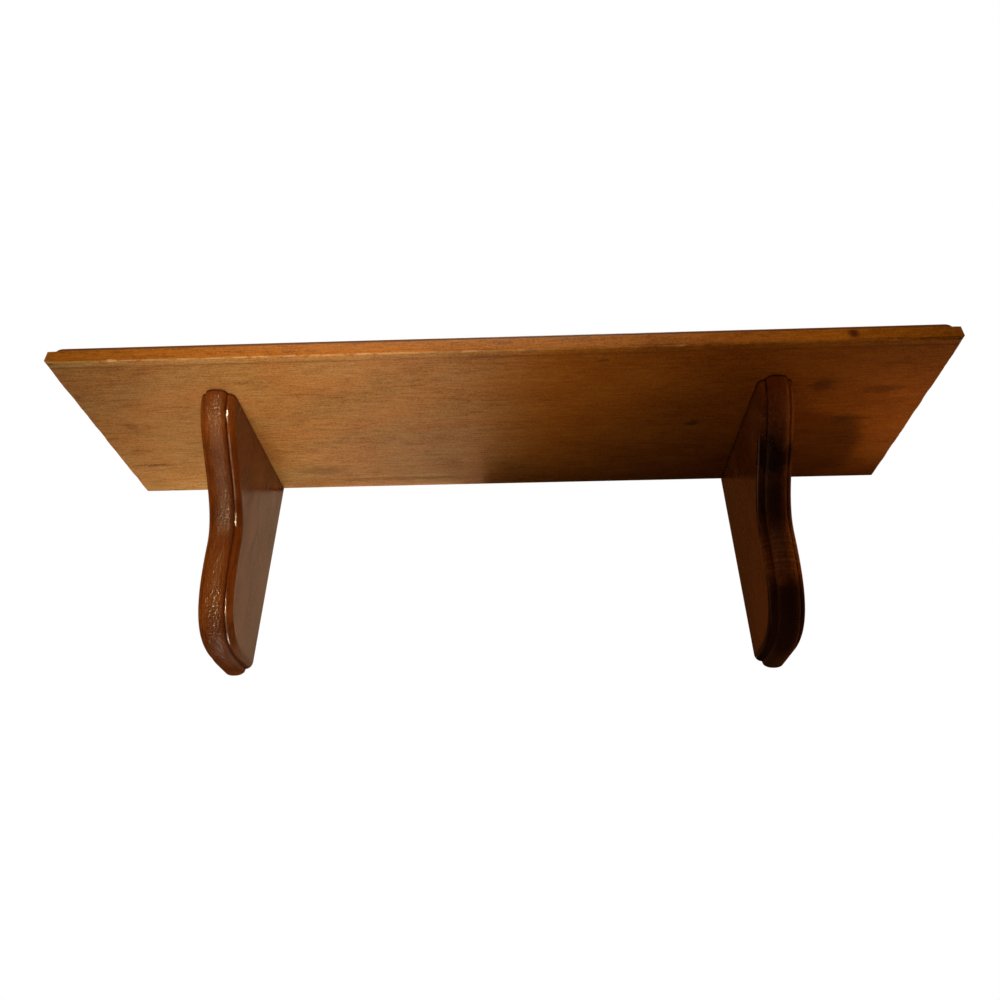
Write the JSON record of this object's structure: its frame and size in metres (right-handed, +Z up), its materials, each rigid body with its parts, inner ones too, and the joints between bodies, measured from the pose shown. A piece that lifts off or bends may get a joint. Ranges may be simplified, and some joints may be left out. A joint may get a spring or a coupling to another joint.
{
  "type": "wall shelf",
  "caption": "Straight wooden shelf board with moulded front and ends, carried by scroll-cut brackets and hung from keyhole plates let into the bracket backs.",
  "frame": {"origin": "centre of the board's rear edge, on the wall plane and at half the board's thickness", "axes": "+X along the shelf to the right seen from the room, +Y into the wall, +Z up"},
  "size_m": [0.508, 0.14, 0.1523],
  "materials": {
    "board_wood": "semi-gloss varnish, tan brown",
    "bracket_wood": "gloss varnish, red brown",
    "plug_wood": "semi-gloss varnish",
    "screw_steel": "zinc plated",
    "plate_steel": "yellow zinc plated"
  },
  "bodies": {
    "root": {"shelf_board": "board_wood", "bracket_left": "bracket_wood", "bracket_right": "bracket_wood", "shelf_screw_rear_left": "screw_steel", "shelf_screw_front_left": "screw_steel", "shelf_screw_rear_right": "screw_steel", "shelf_screw_front_right": "screw_steel", "plug_rear_left": "plug_wood", "plug_front_left": "plug_wood", "plug_rear_right": "plug_wood", "plug_front_right": "plug_wood", "keyhole_plate_left": "plate_steel", "keyhole_plate_right": "plate_steel", "plate_screw_upper_left": "screw_steel", "plate_screw_lower_left": "screw_steel", "plate_screw_upper_right": "screw_steel", "plate_screw_lower_right": "screw_steel"}
  },
  "joints": []
}
